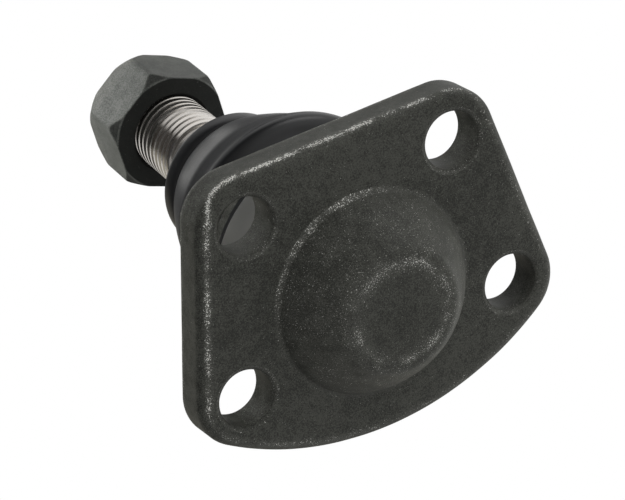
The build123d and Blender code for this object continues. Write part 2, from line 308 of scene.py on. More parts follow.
# Rings round the holes and the dome start this far out on the flats.
HOLE_FACE_MARGIN = 0.18 * MM
HOLE_BACK_MARGIN = 0.6 * MM
DOME_MARGIN = 2.6 * MM
# The flats start this far inside the outline, and the loose points on them a gap further in.
FACE_INSET = 2.2 * MM
BACK_INSET = 2.0 * MM
EDGE_GAP = 0.8 * MM
# Wear of the flange's front edge: least, and how much more where it looks this way; cleaner past this x.
EDGE_WEAR, EDGE_MORE_WEAR = 0.4, 0.7
MOST_RUBBED = Vector((-0.45, 0.89))
CLEANER_BEYOND_X, CLEANER_SHARE = 12.0 * MM, 0.75
# The step of the round where the wear has its middle, how much further it is at +Y, and its reach in steps.
RUBBED_MIDDLE, RUBBED_SHIFT, RUBBED_STEPS = 1.5, 8.0, 2.7
# Rings on the face beside the edge: (inset, the step that they count as for the wear).
FACE_RINGS = ((FACE_INSET, -3.5), (2.0 * MM, -2.0), (1.75 * MM, -1.0), (1.6 * MM, -0.4))
# The root of the dome carries a painted highlight over rubbed flecks, most where it looks this way; the flank
# and shoulder are rubbed evenly.
ROOT_HIGHLIGHT_AND_WEAR_WAY = Vector((-0.35, 0.94))
ROOT_HIGHLIGHT_AND_WEAR, ROOT_MORE_HIGHLIGHT_AND_WEAR = 0.15, 0.5
FLANK_WEAR, SHOULDER_WEAR = 0.22, 0.3
BACK_EDGE_WEAR = 0.35
# Waves of the forged surface: (waves in a metre, height), and the seed of their noise.
FORGED_SEED = 4
FORGED_WAVES = ((90.0, 0.05 * MM), (260.0, 0.018 * MM))


def flange_outline(inset, z):
    """The flange's outline moved inwards: four rounded corners, straight sides and the curved edge."""
    corner_r = EDGE_MARGIN - inset
    chin = CHIN_Y + inset
    splay = math.atan2(WIDE_X - NARROW_X, NARROW_Y - WIDE_Y)
    inner = chin + corner_r
    arc_y = (inner**2 - WIDE_Y**2 - WIDE_X**2) / (2 * (inner - WIDE_Y))
    reach = math.atan2(WIDE_X, arc_y - WIDE_Y)
    right, up, left, down = 0.0, math.pi / 2, math.pi, -math.pi / 2
    points = []

    def arc(x, y, radius, start, end, steps):
        """Points round (x, y), with both ends."""
        turns = [start + (end - start) * i / steps for i in range(steps + 1)]
        points.extend(Vector((x + radius * math.cos(a), y + radius * math.sin(a), z)) for a in turns)

    def corner(x, y, start, end, steps, side_steps):
        """A straight side up to the corner, then the corner itself."""
        before = len(points)
        arc(x, y, corner_r, start, end, steps)
        a, b = points[before - 1], points[before]
        points[before:before] = [a.lerp(b, k / side_steps) for k in range(1, side_steps)]

    arc(0, arc_y, arc_y - chin, down - reach, down + reach, CHIN_STEPS)
    points.pop()
    arc(WIDE_X, WIDE_Y, corner_r, down + reach, right + splay, WIDE_STEPS)
    corner(NARROW_X, NARROW_Y, right + splay, up, NARROW_STEPS, SIDE_STEPS)
    corner(-NARROW_X, NARROW_Y, up, left - splay, NARROW_STEPS, TOP_STEPS)
    corner(-WIDE_X, WIDE_Y, left - splay, left - down - reach, WIDE_STEPS, SIDE_STEPS)
    points.pop()
    return points


def edge_wear(outline):
    """How rubbed each point of the flange's front edge is, and at which step of its round.

    Most towards +Y and the corner at -X; on the +Y side the outer half of the round is rubbed.
    """
    worn = []
    count = len(outline)
    for i, p in enumerate(outline):
        along = outline[(i + 1) % count] - outline[i - 1]
        out = Vector((along.y, -along.x)).normalized()
        share = EDGE_WEAR + EDGE_MORE_WEAR * max(0.0, out.dot(MOST_RUBBED)) ** 1.5
        if p.x > CLEANER_BEYOND_X:
            share *= CLEANER_SHARE
        worn.append((share, RUBBED_MIDDLE + RUBBED_SHIFT * smooth(0.45, 0.95, out.y)))
    return worn


def rubbed_at(step, worn):
    """Wear of each point of one ring of the edge, from its step and what edge_wear says."""
    return [share * math.exp(-(((step - middle) / RUBBED_STEPS) ** 2)) for share, middle in worn]


def point_in_outline(p, outline):
    """Whether a line from the point towards +X crosses the outline an odd number of times."""
    inside = False
    for a, b in zip(outline, outline[1:] + outline[:1]):
        if (a.y > p.y) != (b.y > p.y):
            if p.x < a.x + (b.x - a.x) * (p.y - a.y) / (b.y - a.y):
                inside = not inside
    return inside


def dome_profile():
    """(radius, z) lists of the dome's root, flank and shoulder."""
    height = DOME_TOP_Z - FACE_Z
    slope = math.atan2(height, DOME_BASE_R - DOME_TOP_R)
    corner_r = DOME_TOP_R + DOME_SHOULDER_ROUND * math.tan(slope / 2)
    out = Vector((height, DOME_BASE_R - corner_r)).normalized()
    base, top = Vector((DOME_BASE_R, FACE_Z)), Vector((corner_r, DOME_TOP_Z))
    shares = [i / FLANK_STEPS for i in range(FLANK_STEPS + 1)]
    flank = [base.lerp(top, t) + out * DOME_BULGE * 4 * t * (1 - t) for t in shares]
    outside, middle = (DOME_BASE_R + 4 * MM, FACE_Z), (0, DOME_TOP_Z)
    root = round_corner(outside, flank[0], flank[3], DOME_ROOT_ROUND, ROUND_STEPS)
    shoulder = round_corner(flank[-4], flank[-1], middle, DOME_SHOULDER_ROUND, ROUND_STEPS)
    low, high = root[-1].y + ROUND_GAP, shoulder[0].y - ROUND_GAP
    return root, [p for p in flank if low < p.y < high], shoulder


def forged_unevenness(p):
    """How far the forged surface's small waves move this point."""
    return sum((noise.noise_vector(p * scale) * height for scale, height in FORGED_WAVES), Vector())


def add_flange_edge(skin):
    """The flange's edge, from the face over the rounds and the wall to the back; its first and last ring."""
    worn = edge_wear(flange_outline(0.0, 0.0))
    rings = [skin.ring(flange_outline(inset, FACE_Z), rubbed_at(step, worn)) for inset, step in FACE_RINGS]
    for i in range(EDGE_STEPS + 1):
        a = math.pi / 2 * i / EDGE_STEPS
        inset = FACE_EDGE_ROUND * (1 - math.sin(a))
        z = FACE_Z - FACE_EDGE_ROUND * (1 - math.cos(a))
        rings.append(skin.ring(flange_outline(inset, z), rubbed_at(i, worn)))
    top, low = FACE_Z - FACE_EDGE_ROUND, BACK_Z + BACK_EDGE_ROUND
    for i in range(1, WALL_STEPS):
        rings.append(skin.ring(flange_outline(0.0, top + (low - top) * i / WALL_STEPS)))
    for i in range(BACK_STEPS + 1):
        a = math.pi / 2 * i / BACK_STEPS
        inset = BACK_EDGE_ROUND * (1 - math.cos(a))
        z = BACK_Z + BACK_EDGE_ROUND * (1 - math.sin(a))
        rings.append(skin.ring(flange_outline(inset, z), BACK_EDGE_WEAR))
    rings.append(skin.ring(flange_outline(BACK_INSET / 2, BACK_Z), 0.1))
    rings.append(skin.ring(flange_outline(BACK_INSET, BACK_Z), 0.0))
    skin.skin(rings)
    return rings[0], rings[-1]


def add_bolt_holes(skin):
    """The four chamfered holes; their rings on the face and on the back."""
    face_r, back_r = HOLE_R + HOLE_FACE_CHAMFER, HOLE_R + HOLE_BACK_CHAMFER
    chamfer_z = FACE_Z - HOLE_FACE_CHAMFER_DEPTH
    profile = (
        (face_r + HOLE_FACE_MARGIN, FACE_Z, 0.0),
        (face_r + 0.05 * MM, FACE_Z, 0.3),
        (face_r - 0.05 * MM, FACE_Z - 0.033 * MM, 0.35),
        (HOLE_R + 0.06 * MM, chamfer_z + 0.04 * MM, 0.2),
        (HOLE_R, chamfer_z - 0.06 * MM, 0.2),
        (HOLE_R, FACE_Z - FLANGE_THICKNESS / 2, 0.0),
        (HOLE_R, BACK_Z + HOLE_BACK_CHAMFER + 0.05 * MM, 0.1),
        (back_r, BACK_Z, 0.4),
        (back_r + HOLE_BACK_MARGIN, BACK_Z, 0.0),
    )
    face_loops, back_loops = [], []
    for centre in HOLES:
        rings = [skin.ring(circle(r, z, HOLE_STEPS, centre), wear) for r, z, wear in profile]
        skin.skin(rings)
        face_loops.append(rings[0])
        back_loops.append(rings[-1])
    return face_loops, back_loops


def add_dome(skin):
    """The dome from its ring on the face, which is returned, to the middle of its flat top."""
    root, flank, shoulder = dome_profile()
    rings = [skin.ring(circle(r, FACE_Z)) for r in (DOME_BASE_R + DOME_MARGIN, root[0].x + 0.3 * MM)]
    # Painted highlight: the root's rings get more wear towards +Y, which lightens them into a soft line
    # besides the rubbed flecks.
    for r, z in root:
        points = circle(r, z)
        facing = [max(0.0, ROOT_HIGHLIGHT_AND_WEAR_WAY.dot(p[:2])) / r for p in points]
        rings.append(skin.ring(points, [ROOT_HIGHLIGHT_AND_WEAR + ROOT_MORE_HIGHLIGHT_AND_WEAR * share**2 for share in facing]))
    rings += [skin.ring(circle(r, z), FLANK_WEAR) for r, z in flank]
    rings += [skin.ring(circle(r, z), SHOULDER_WEAR) for r, z in shoulder]
    for r, wear in (
        (DOME_TOP_R - 0.6 * MM, 0.6),
        (DOME_TOP_R - 1.6 * MM, 0.3),
        (DOME_TOP_R - 2.8 * MM, 0.08),
        (DOME_TOP_R * 0.35, 0.0),
    ):
        rings.append(skin.ring(circle(r, DOME_TOP_Z), wear))
    skin.skin(rings)
    skin.fan(rings[-1], (0, 0, DOME_TOP_Z))
    return rings[0]


def add_neck(skin):
    """The neck, its rolled lip and the dark socket behind it; the ring on the flange's back."""
    lip_z, socket_r = NECK_END_Z + LIP_THICKNESS, LIP_BORE_R + 0.8 * MM
    profile = lathe_profile(
        [
            (NECK_R + NECK_ROOT_FLARE, BACK_Z, 0),
            (NECK_R, BACK_Z, 0.4 * MM),
            (NECK_R, NECK_END_Z, 0.9 * MM),
            (LIP_BORE_R, NECK_END_Z, 0.4 * MM),
            (LIP_BORE_R, lip_z, 0),
            (socket_r, lip_z, 0),
            (socket_r, NECK_END_Z + SOCKET_DEPTH, 0),
        ]
    )
    rings = [skin.ring(circle(r, z)) for r, z in profile]
    skin.skin(rings)
    skin.fan(rings[-1], (0, 0, NECK_END_Z + SOCKET_DEPTH))
    return rings[0]


def flat_test(inset, hole_r, core_r):
    """A test whether a point, or one with a gap round it, lies on a flat, clear of its holes and middle."""
    outline = flange_outline(inset, 0.0)
    near_outline = flange_outline(inset + EDGE_GAP, 0.0)

    def inside(p, gap):
        clear = all(math.hypot(p.x - x, p.y - y) > hole_r + gap for x, y in HOLES)
        limit = near_outline if gap else outline
        return clear and p.length > core_r + gap and point_in_outline(p, limit)

    return inside


def make_housing(material):
    """The forging: flange, bolt holes, dome, neck and the flats between them, with a forged unevenness."""
    skin = Skin()
    face_edge, back_edge = add_flange_edge(skin)
    face_loops, back_loops = add_bolt_holes(skin)
    core = add_dome(skin)
    neck = add_neck(skin)
    face_hole_r = HOLE_R + HOLE_FACE_CHAMFER + HOLE_FACE_MARGIN
    on_face = flat_test(FACE_INSET, face_hole_r, DOME_BASE_R + DOME_MARGIN)
    skin.fill(face_edge, face_loops + [core], FILL_SPACING, on_face)
    back_hole_r = HOLE_R + HOLE_BACK_CHAMFER + HOLE_BACK_MARGIN
    on_back = flat_test(BACK_INSET, back_hole_r, NECK_R + NECK_ROOT_FLARE)
    skin.fill(back_edge, back_loops + [neck], FILL_SPACING, on_back)
    noise.seed_set(FORGED_SEED)
    skin.points = [p + forged_unevenness(p) for p in skin.points]
    return skin.build("forged_housing", material)


# ---------------------------------------------------------------- stud
def taper_r(distance):
    """Radius of the stud's taper at this distance from the ball's centre."""
    return TAPER_START_R - (distance - TAPER_START) * TAPER_SLOPE


def thread_r(turn):
    """Radius of the thread's section at this share of a pitch, 0 at the middle of the crest."""
    away = abs((turn + 0.5) % 1.0 - 0.5)
    groove = (away - THREAD_CREST) / (THREAD_ROOT - THREAD_CREST)
    return THREAD_R - THREAD_DEPTH * min(1.0, max(0.0, groove))


def add_thread(skin, first, steps):
    """Right-hand thread whose rows of points follow the helix, from the runout to the chamfered end.

    It starts at the ring first and returns the ring of its end.
    """
    flank = (THREAD_ROOT - 0.05, THREAD_CREST)
    shares = (-0.5, -THREAD_ROOT, -flank[0], -flank[1], 0.0, flank[1], flank[0], THREAD_ROOT)
    start, end = TAPER_END + RUNOUT, STUD_LENGTH
    turns = math.ceil((end - start) / THREAD_PITCH) + 2
    rows = [turn + share for turn in range(turns) for share in shares]
    columns = []
    for i in range(steps):
        a = 2 * math.pi * i / steps
        column = []
        for row in rows:
            d = end + THREAD_PITCH * (1 - row - a / (2 * math.pi))
            d = min(end, max(start, d))
            turn = (end - d) / THREAD_PITCH + 1 - a / (2 * math.pi)
            r = min(thread_r(turn), THREAD_R - STUD_END_CHAMFER + end - d)
            r = min(r, THREAD_R - THREAD_DEPTH + max(0.0, d - start))
            column.append(skin.ring([(r * math.cos(a), r * math.sin(a), -d)])[0])
        columns.append(column)
    shift = len(shares)
    last = len(rows) - 1
    for i in range(steps):
        near, far = columns[i], columns[(i + 1) % steps]
        offset = shift if i == steps - 1 else 0
        for k in range(last):
            a, b = min(k + offset, last), min(k + 1 + offset, last)
            skin.faces.append((near[k], near[k + 1], far[b], far[a]))
    top = [column[-1] for column in columns]
    skin.strip(first, top)
    return [column[0] for column in columns]


def make_stud(material):
    """Ball, waisted neck and taper as one turned skin that runs into a real helical thread."""
    skin = Skin()
    rings = []
    flat_angle = math.asin(BALL_FLAT_R / BALL_R)
    neck_angle = math.pi - math.asin(STUD_NECK_R / BALL_R)
    for i in range(BALL_STEPS + 1):
        a = flat_angle + (neck_angle - flat_angle) * i / BALL_STEPS
        rings.append(skin.ring(circle(BALL_R * math.sin(a), BALL_R * math.cos(a), STUD_STEPS)))
    neck_and_taper = lathe_profile(
        [
            (STUD_NECK_R, -BALL_R, 0),
            (STUD_NECK_R, -NECK_STRAIGHT_END, 3.0 * MM),
            (taper_r(TAPER_START), -TAPER_START, 3.0 * MM),
            (taper_r(TAPER_END), -TAPER_END, 0.15 * MM),
            (THREAD_R - THREAD_DEPTH, -TAPER_END - RUNOUT / 2, 0),
        ]
    )
    rings += [skin.ring(circle(r, z, STUD_STEPS)) for r, z in neck_and_taper]
    skin.skin(rings)
    skin.fan(rings[0], (0, 0, math.sqrt(BALL_R**2 - BALL_FLAT_R**2)))
    tip = add_thread(skin, rings[-1], STUD_STEPS)
    skin.fan(tip, (0, 0, -STUD_LENGTH))
    return skin.build("threaded_ball_stud", material, stud_place())


# ---------------------------------------------------------------- nut
# Painted shade: these negative wear values darken the nut's bore and the bearing face that faces the housing.
BORE_PAINTED_SHADE, FACE_PAINTED_SHADE = -1.0, -0.9


def soft_min(a, b, width):
    """The smaller of two values, rounded over where they meet."""
    h = min(1.0, max(0.0, 0.5 + 0.5 * (b - a) / width))
    return b + (a - b) * h - width * h * (1 - h)


def hex_radius(angle):
    """Distance from the nut's axis to its hexagon's side, with softly rounded corners."""
    flat = NUT_FLATS / 2
    away = (angle + math.pi / 6) % (math.pi / 3) - math.pi / 6
    r = flat / math.cos(away)
    soft = flat / math.cos(math.pi / 6) - NUT_CORNER_ROUND
    return r if r < soft else soft + (r - soft) * 0.45


def add_hex_ring(skin, d, wear=0.0, grow=0.0):
    """A section of the nut at this distance: the hexagon, cut by the cones of both chamfers.

    The wear "cone" is bright where the chamfer meets the sides, and the chamfer itself is darkened with
    painted shade.
    """
    depth = max(min(d - NUT_FACE, NUT_FACE + NUT_HEIGHT - d), 0.0)
    cone = NUT_FACE_R + depth / NUT_CHAMFER_SLOPE
    points, worn = [], []
    for i in range(NUT_STEPS):
        a = 2 * math.pi * i / NUT_STEPS
        flat = hex_radius(a - NUT_CORNER_TURN + math.pi / 6)
        r = soft_min(flat, cone, NUT_CONE_BLEND) + grow
        points.append((r * math.cos(a), r * math.sin(a), -d))
        gap = (flat - cone) / NUT_EDGE_ROUND
        # Painted shade: the chamfer gets negative wear, which darkens it; where it meets the sides it is
        # rubbed.
        worn.append(max(-0.6, min(0.35, 0.35 - gap)) if gap > -1 else 0.05)
    return skin.ring(points, worn if wear == "cone" else wear)


def make_nut(material):
    """Chamfered hexagon with its threaded bore's mouth, and a collar for the locking insert."""
    skin = Skin()

    def turned(profile):
        return [skin.ring(circle(r, -d, NUT_STEPS), wear) for r, d, wear in profile]

    def edge(place, step, shares, wear):
        """Rings over the round between an end face and its chamfer."""
        return [add_hex_ring(skin, place + step * t, wear, -soft * (1 - t) ** 2) for t in shares]

    soft = NUT_EDGE_ROUND
    far = NUT_FACE + NUT_HEIGHT
    reach = 1.2 * (NUT_FLATS / math.sqrt(3) - NUT_FACE_R) * NUT_CHAMFER_SLOPE
    cone_shares = [i / NUT_CHAMFER_STEPS for i in range(1, NUT_CHAMFER_STEPS + 1)]
    cone_depths = [soft + (reach - soft) * t for t in cone_shares]
    side_shares = [i / NUT_SIDE_STEPS for i in range(1, NUT_SIDE_STEPS)]
    body = [add_hex_ring(skin, NUT_FACE, FACE_PAINTED_SHADE, -soft)]
    body += edge(NUT_FACE, soft, (0.35, 0.7, 1.0), 0.0)
    body += [add_hex_ring(skin, NUT_FACE + d, "cone") for d in cone_depths]
    body += [add_hex_ring(skin, NUT_FACE + reach + (NUT_HEIGHT - 2 * reach) * t) for t in side_shares]
    body += [add_hex_ring(skin, far - d, 0.35) for d in reversed(cone_depths)]
    body += edge(far, -soft, (1.0, 0.7, 0.35), 0.5)
    body += [add_hex_ring(skin, far, 0.4, -soft)]
    washer_r = NUT_FLATS / 2 - 0.6 * MM
    lead_r = NUT_BORE_R + NUT_LEAD_IN
    face = turned(
        (
            (NUT_BORE_R, far - NUT_RECESS_DEPTH, BORE_PAINTED_SHADE),
            (NUT_BORE_R, NUT_FACE + NUT_LEAD_IN, BORE_PAINTED_SHADE),
            (lead_r, NUT_FACE, FACE_PAINTED_SHADE),
            (lead_r + 0.2 * MM, NUT_FACE, FACE_PAINTED_SHADE),
            (washer_r, NUT_FACE, FACE_PAINTED_SHADE),
        )
    )
    end = far + NUT_COLLAR_HEIGHT
    collar = turned(
        (
            (washer_r, far, 0.0),
            (NUT_COLLAR_R + 0.3 * MM, far, 0.0),
            (NUT_COLLAR_R, far + 0.2 * MM, 0.0),
            (NUT_COLLAR_R, end - NUT_COLLAR_LIP, 0.3),
            (NUT_COLLAR_R - NUT_COLLAR_LIP, end, 0.5),
            (NUT_COLLAR_R - 0.7 * MM, end, 0.2),
            (NUT_RECESS_R, end - NUT_COLLAR_LIP, 0.0),
            (NUT_RECESS_R, far - 1.5 * MM, 0.0),
            (NUT_BORE_R, far - NUT_RECESS_DEPTH, 0.0),
        )
    )
    skin.skin(face + body + collar)
    return skin.build("hexagon_nut", material, stud_place(), NUT_SHARP_ANGLE)


# ---------------------------------------------------------------- boot
# The boot's lines are (radius, distance from the ball's centre along the axis), all in mm. These three are
# its outside, from the collar under the flange over the folds to the lip on the stud.
COLLAR_LINE = [(16.6, -4.3), (17.24, -3.7), (17.24, 0.0), (17.24, 3.2), (17.1, 4.0), (16.3, 4.9), (15.7, 6.4)]
FOLD_LINE = [
    (15.5, 8.2),
    (15.7, 9.6),
    (16.4, 10.9),
    (17.15, 12.0),
    (17.5, 13.1),
    (17.35, 14.3),
    (16.85, 15.6),
    (16.2, 16.9),
    (15.7, 18.1),
    (15.25, 19.3),
    (14.95, 20.2),
    (14.7, 21.0),
    (14.4, 21.9),
    (14.0, 23.0),
    (13.35, 24.6),
    (12.6, 26.3),
    (11.8, 27.9),
    (11.1, 28.8),
]
LIP_LINE = [
    (10.4, 29.1),
    (9.8, 29.4),
    (9.8, 29.8),
    (10.3, 30.1),
    (10.6, 30.6),
    (10.75, 31.4),
    (10.72, 32.4),
    (10.3, 33.1),
    (9.4, 33.4),
]
# Inside of the lip, from its end back up along the stud's taper.
SEAL_LINE = [(7.4, 33.3), (6.48, 32.9), (6.55, 29.5), (7.4, 29.1)]
BOOT_WALL = 1.6
# The pieces of the boot meet here, and the thin wall ends here, above the lip.
SEAM = 14.6
WALL_END = 27.4
# The boot's axis turns from the housing's to the stud's over this stretch.
LEAN_START, LEAN_END = 9.0, 16.5
# Dust lies on the collar up to here. The neck and the deep fold are matt: (starts, full, still full, ends).
DUST_END = 4.2
MATT_SPANS = ((4.2, 4.8, 9.0, 11.0), (14.5, 16.5, 19.5, 21.5))
# How far the folds hang towards SAG_WAY: (distance, sag).
SAG_WAY = Vector((0.82, 0.56, 0.0))
SAG = [(0.0, 0.0), (9.0, 0.0), (13.0, 1.0), (17.0, 1.2), (21.0, 0.7), (26.0, 0.55), (32.0, 0.1), (40.0, 0.0)]


def smooth_line(points, per_span=6):
    """Catmull-Rom curve through the points."""
    pts = [Vector(p) for p in points]
    ends = [pts[0] * 2 - pts[1]] + pts + [pts[-1] * 2 - pts[-2]]
    out = []
    for i in range(1, len(ends) - 2):
        a, b, c, d = ends[i - 1 : i + 3]
        for k in range(per_span):
            t = k / per_span
            square, cube = 2 * a - 5 * b + 4 * c - d, 3 * b - a - 3 * c + d
            out.append(0.5 * (2 * b + (c - a) * t + square * t**2 + cube * t**3))
    out.append(pts[-1])
    return out


def sag_at(distance):
    """How far the middle of the boot hangs at this distance."""
    for (start, low), (end, high) in zip(SAG, SAG[1:]):
        if start <= distance <= end:
            return low + (high - low) * smooth(start, end, distance)
    return 0.0


def boot_ring(radius, distance):
    """A ring that leaves the housing's axis and swings onto the stud's."""
    lean = smooth(LEAN_START, LEAN_END, distance)
    down = Vector((0, 0, -1))
    centre = down.lerp(STUD_AXIS, lean) * distance + SAG_WAY * sag_at(distance)
    turn = down.rotation_difference(down.lerp(STUD_AXIS, lean).normalized())
    return [(centre + turn @ Vector(p)) * MM for p in circle(radius, 0.0)]


def bloom_at(distance):
    """Wear of the rubber at this distance: 1 is dust and -1 is matt."""
    if distance < DUST_END:
        return 1.0
    return -sum(smooth(a, b, distance) - smooth(c, d, distance) for a, b, c, d in MATT_SPANS)


def make_boot_part(name, outside, lip_inside, wall_outside, material):
    """A closed skin along the outside, back along the lip's inside and then the inside of the wall."""
    skin = Skin()
    wall_inside = [(r - BOOT_WALL, d) for r, d in reversed(wall_outside)]
    rings = [skin.ring(boot_ring(r, d), bloom_at(d)) for r, d in [*outside, *lip_inside, *wall_inside]]
    skin.skin(rings + [rings[0]])
    return skin.build(name, material)


def make_boot(material):
    """The collar's piece and the bellows' piece, which meet just past the crest of the big fold."""
    line = smooth_line(COLLAR_LINE + FOLD_LINE + LIP_LINE)
    seam = next(i for i, p in enumerate(line) if p.y > SEAM)
    low, high = line[: seam + 2], line[seam:]
    wall = [p for p in high if p.y < WALL_END]
    collar = make_boot_part("boot_collar", low, [], low, material)
    bellows = make_boot_part("boot_bellows", high, SEAL_LINE, wall, material)
    return collar, bellows


# ---------------------------------------------------------------- materials
class Nodes:
    """Short hand for building the node tree of a new material or world."""

    def __init__(self, owner):
        self.owner = owner
        owner.use_nodes = True
        self.tree = owner.node_tree

    def add(self, kind, inputs=None, **settings):
        """A node with these settings, its inputs fed by sockets or fixed values."""
        node = self.tree.nodes.new(kind)
        for key, value in settings.items():
            setattr(node, key, value)
        for key, value in (inputs or {}).items():
            self.feed(node.inputs[key], value)
        return node

    def feed(self, socket, value):
        """Links a socket to this one, or sets it to a fixed value."""
        if isinstance(value, bpy.types.NodeSocket):
            self.tree.links.new(value, socket)
        else:
            socket.default_value = value

    def math(self, operation, *values, clamp=False):
        node = self.add("ShaderNodeMath", operation=operation, use_clamp=clamp)
        for i, value in enumerate(values):
            self.feed(node.inputs[i], value)
        return node.outputs[0]

    def noise(self, scale, detail=3.0, roughness=0.55, stretch=(1, 1, 1)):
        """Noise fixed to the piece; a scale of 1000 has grains about a millimetre across."""
        place = self.add("ShaderNodeTexCoord").outputs["Object"]
        mapped = self.add("ShaderNodeMapping", {"Vector": place, "Scale": stretch}).outputs[0]
        inputs = {"Vector": mapped, "Scale": scale, "Detail": detail, "Roughness": roughness}
        return self.add("ShaderNodeTexNoise", inputs).outputs["Fac"]

    def ramp(self, value, low, high, out_low=0.0, out_high=1.0):
        """Soft passage from out_low, where the value is low, to out_high, where it is high."""
        node = self.add("ShaderNodeMapRange", {0: value, 1: low, 2: high, 3: out_low, 4: out_high})
        node.interpolation_type = "SMOOTHSTEP"
        return node.outputs[0]

    def mix(self, share, a, b):
        """Colour a where the share is 0 and colour b where it is 1."""
        return self.add("ShaderNodeMix", {0: share, 6: a, 7: b}, data_type="RGBA").outputs[2]

    def mix_numbers(self, share, a, b):
        """Number a where the share is 0 and number b where it is 1."""
        return self.add("ShaderNodeMix", {0: share, 2: a, 3: b}).outputs[0]

    def painted_wear(self):
        """The wear value that the mesh code gave to the points."""
        return self.add("ShaderNodeAttribute", attribute_name="wear").outputs["Fac"]

    def bump(self, height, distance, strength, normal=None):
        """A relief of this height in metres, on top of another one if that is given."""
        node = self.add("ShaderNodeBump", {"Height": height, "Distance": distance, "Strength": strength})
        if normal is not None:
            self.feed(node.inputs["Normal"], normal)
        return node.outputs[0]

    def finish(self, **sockets):
        """Feeds the sockets of the material's shader and returns the material."""
        shader = self.tree.nodes["Principled BSDF"]
        for key, value in sockets.items():
            self.feed(shader.inputs[key.replace("_", " ")], value)
        return self.owner


def darker(colour, share):
    """This share of a colour's light."""
    return tuple(c * share for c in colour[:3]) + (1,)


# Where the phosphate is rubbed but not yet bare; along the dome's root this lighter tone is a painted
# highlight.
POLISHED_AND_HIGHLIGHT = (0.12, 0.12, 0.108, 1)


def phosphate_material(name, dark, light, worn, wear_reach, grain, gloss):
    """Matt phosphated forging: fine crystals, faint cloudy tone, bare metal rubbed through at edges.

    Wear above 0 is rubbed, in patches and flakes, and its lighter polished tone also paints a highlight; wear
    below 0 is painted shade, which darkens the colour.
    """
    n = Nodes(bpy.data.materials.new(name))
    cloud = n.ramp(n.noise(70.0), 0.3, 0.7, -0.18, 0.18)
    mottle = n.ramp(n.noise(620.0, 3.0, 0.6), 0.3, 0.7, -0.22, 0.22)
    crystals = n.noise(grain, 2.0, 0.65)
    grains = n.ramp(crystals, 0.32, 0.68, -0.55, 0.6)
    share = n.math("ADD", n.math("ADD", cloud, mottle), n.math("ADD", grains, 0.5), clamp=True)
    wear = n.painted_wear()
    patches = n.ramp(n.noise(260.0, 3.0, 0.6), 0.3, 0.6, 0.3, 1.0)
    rubbed = n.math("MULTIPLY", n.math("MAXIMUM", wear, 0.0), patches)
    flakes = n.math("ADD", n.noise(5600.0, 3.0, 0.7), n.math("MULTIPLY", rubbed, wear_reach))
    bare = n.ramp(flakes, 0.68, 0.76)
    # Painted shade: wear below 0 darkens the colour towards a quarter of the dark tone, and roughens it.
    painted_shade = n.math("MULTIPLY", n.math("MINIMUM", wear, 0.0), -1.0)
    tone = n.mix(painted_shade, n.mix(share, dark, light), darker(dark, 0.25))
    # Painted highlight: the rubbed mask lightens the tone towards the polished colour, which along the dome's
    # root stands for a highlight.
    tone = n.mix(n.math("MULTIPLY", rubbed, 0.5, clamp=True), tone, POLISHED_AND_HIGHLIGHT)
    coarse = n.bump(n.noise(420.0, 4.0, 0.6), 0.05 * MM, 0.5)
    return n.finish(
        Base_Color=n.mix(bare, tone, worn),
        Metallic=n.math("MULTIPLY", bare, 0.5),
        Roughness=n.math("ADD", n.ramp(crystals, 0.3, 0.7, 0.45, 0.6), n.math("MULTIPLY", painted_shade, 0.3)),
        Specular_IOR_Level=gloss,
        Normal=n.bump(crystals, 0.05 * MM, 0.8, coarse),
    )


def steel_material():
    """Bright turned steel with faint turning marks and a few brown stains."""
    n = Nodes(bpy.data.materials.new("bright_turned_steel"))
    marks = n.noise(420.0, 3.0, 0.6, (0.15, 0.15, 6.0))
    stains = n.ramp(n.noise(210.0), 0.66, 0.76)
    colour = n.mix(n.math("MULTIPLY", stains, 0.55), (0.66, 0.63, 0.59, 1), (0.22, 0.15, 0.1, 1))
    return n.finish(
        Base_Color=colour,
        Metallic=1.0,
        Roughness=n.ramp(marks, 0.3, 0.7, 0.16, 0.3),
        Normal=n.bump(marks, 0.02 * MM, 0.35),
    )


def rubber_material():
    """Satin black moulded rubber with a fine grain; wear above 0 is dust and below 0 makes it matt."""
    n = Nodes(bpy.data.materials.new("moulded_rubber"))
    bloom = n.ramp(n.noise(60.0, 4.0), 0.35, 0.75)
    grain = n.noise(2600.0, 3.0, 0.6)
    clean = n.mix(bloom, (0.0032, 0.0034, 0.0039, 1), (0.006, 0.0062, 0.0065, 1))
    dust = n.mix(bloom, (0.035, 0.035, 0.032, 1), (0.055, 0.055, 0.05, 1))
    wear = n.painted_wear()
    dusty = n.math("MAXIMUM", wear, 0.0)
    matt = n.math("MULTIPLY", n.math("MINIMUM", wear, 0.0), -0.4)
    return n.finish(
        Base_Color=n.mix(dusty, clean, dust),
        Roughness=n.math("ADD", n.ramp(grain, 0.3, 0.7, 0.31, 0.35), matt),
        Specular_IOR_Level=0.45,
        Normal=n.bump(grain, 0.004 * MM, 0.2),
    )


def plastic_material(name, colour):
    """Moulded bearing plastic, slightly waxy."""
    n = Nodes(bpy.data.materials.new(name))
    cloud = n.noise(300.0)
    return n.finish(
        Base_Color=n.mix(cloud, darker(colour, 0.86), colour),
        Roughness=n.ramp(cloud, 0.3, 0.7, 0.35, 0.5),
        Subsurface_Weight=0.1,
        Normal=n.bump(n.noise(1800.0), 0.02 * MM, 0.3),
    )


def wire_material():
    """Drawn spring wire, oiled dark."""
    n = Nodes(bpy.data.materials.new("drawn_spring_wire"))
    marks = n.noise(900.0)
    return n.finish(
        Base_Color=n.mix(marks, (0.05, 0.05, 0.055, 1), (0.12, 0.12, 0.125, 1)),
        Metallic=0.9,
        Roughness=n.ramp(marks, 0.3, 0.7, 0.3, 0.5),
        Normal=n.bump(marks, 0.02 * MM, 0.3),
    )


